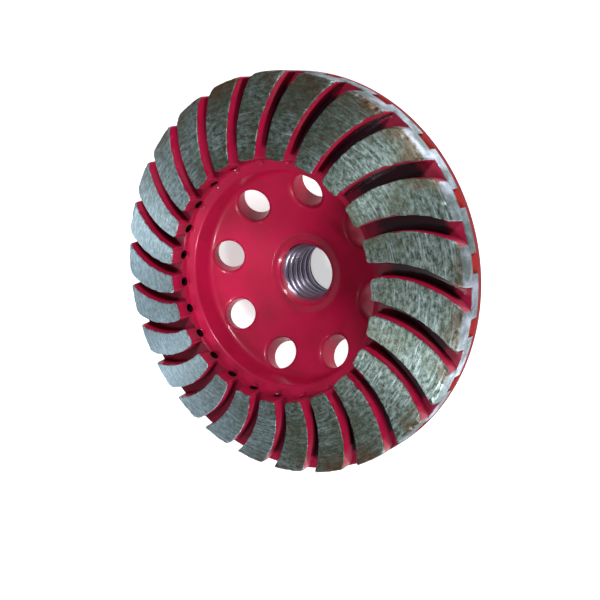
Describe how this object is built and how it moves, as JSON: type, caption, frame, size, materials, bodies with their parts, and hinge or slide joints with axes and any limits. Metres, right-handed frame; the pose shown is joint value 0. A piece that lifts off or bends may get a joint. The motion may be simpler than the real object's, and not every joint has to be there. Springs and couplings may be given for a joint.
{
  "type": "diamond cup wheel",
  "caption": "Bell-shaped steel wheel with a threaded hub and a sintered diamond ring split into curved blades, for grinding stone or concrete with an angle grinder.",
  "frame": {"origin": "centre of the hub's back face, which the wheel stands on", "axes": "+Z along the spindle axis towards the working face; +X through the inner middle of one blade and the air hole behind it"},
  "size_m": [0.0798, 0.0798, 0.032],
  "materials": {
    "painted_steel": "glossy crimson paint over turned steel, bare metal in the thread",
    "diamond_segment": "grey sintered metal with fine grit, ground bright on the working face, painted in the grooves"
  },
  "bodies": {
    "root": {"steel_body": "painted_steel", "abrasive_ring": "diamond_segment"}
  },
  "joints": []
}
